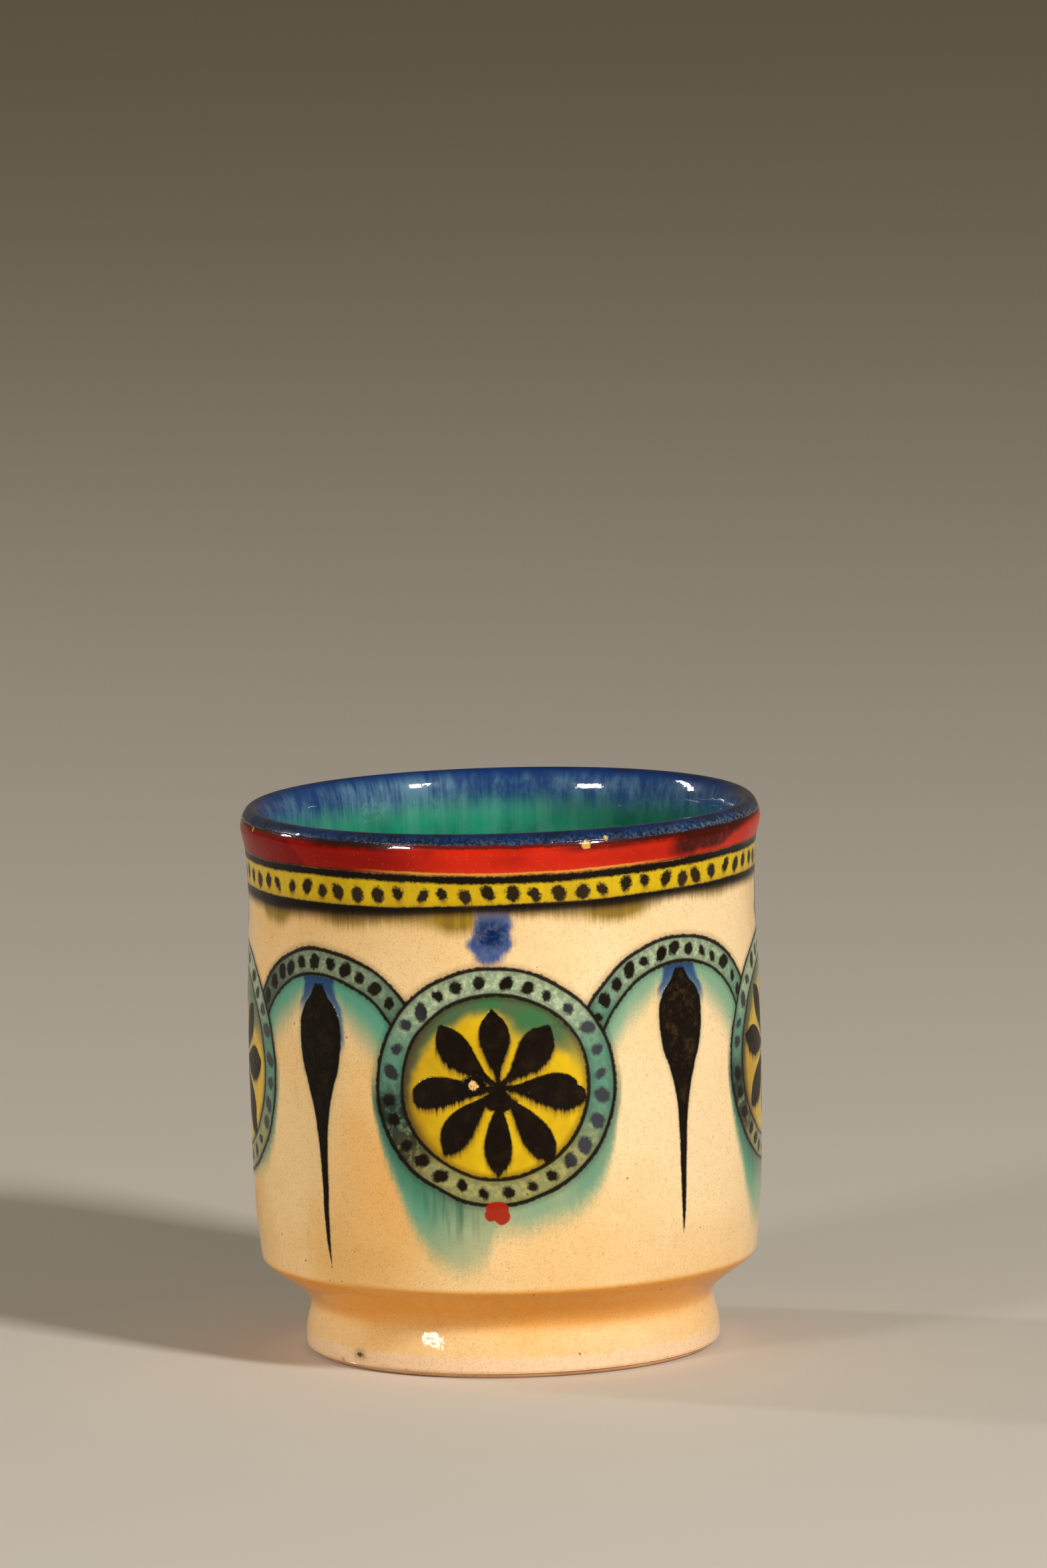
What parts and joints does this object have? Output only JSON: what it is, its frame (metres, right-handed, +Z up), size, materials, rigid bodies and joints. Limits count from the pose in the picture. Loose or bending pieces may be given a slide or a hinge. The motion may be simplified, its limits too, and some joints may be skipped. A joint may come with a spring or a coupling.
{
  "type": "mug",
  "caption": "Handleless glazed ceramic mug with a waist under its rounded rim and a flared foot ring, painted with bands, medallions, arches and drops.",
  "frame": {"origin": "centre of the circle that the foot ring rests on", "axes": "+Z up along the axis of revolution, -Y towards the medallion on the pictured side"},
  "size_m": [0.0866, 0.0866, 0.0917],
  "materials": {
    "clay": "bare fired clay, matte",
    "cream_glaze": "clear cream glaze, glossy",
    "turquoise_glaze": "streaked turquoise glaze, glossy",
    "cobalt_glaze": "streaked cobalt glaze, glossy",
    "red_enamel": "red underglaze paint, glossy",
    "yellow_enamel": "yellow underglaze paint, glossy",
    "teal_enamel": "bleeding teal underglaze paint, glossy",
    "black_enamel": "black underglaze paint, glossy"
  },
  "bodies": {
    "root": {"clay_body": "clay", "foot_ring": "clay", "cream_glaze": "cream_glaze", "cobalt_lip": "cobalt_glaze", "turquoise_lining": "turquoise_glaze", "red_band": "red_enamel", "yellow_band": "yellow_enamel", "front_medallion_border": "teal_enamel", "front_medallion_ground": "yellow_enamel", "front_rosette": "black_enamel", "front_cobalt_spot": "cobalt_glaze", "front_red_spot": "red_enamel", "right_medallion_border": "teal_enamel", "right_medallion_ground": "yellow_enamel", "right_rosette": "black_enamel", "right_cobalt_spot": "cobalt_glaze", "right_red_spot": "red_enamel", "back_medallion_border": "teal_enamel", "back_medallion_ground": "yellow_enamel", "back_rosette": "black_enamel", "back_cobalt_spot": "cobalt_glaze", "back_red_spot": "red_enamel", "left_medallion_border": "teal_enamel", "left_medallion_ground": "yellow_enamel", "left_rosette": "black_enamel", "left_cobalt_spot": "cobalt_glaze", "left_red_spot": "red_enamel", "front_right_arch": "teal_enamel", "front_right_drop": "black_enamel", "back_right_arch": "teal_enamel", "back_right_drop": "black_enamel", "back_left_arch": "teal_enamel", "back_left_drop": "black_enamel", "front_left_arch": "teal_enamel", "front_left_drop": "black_enamel"}
  },
  "joints": []
}
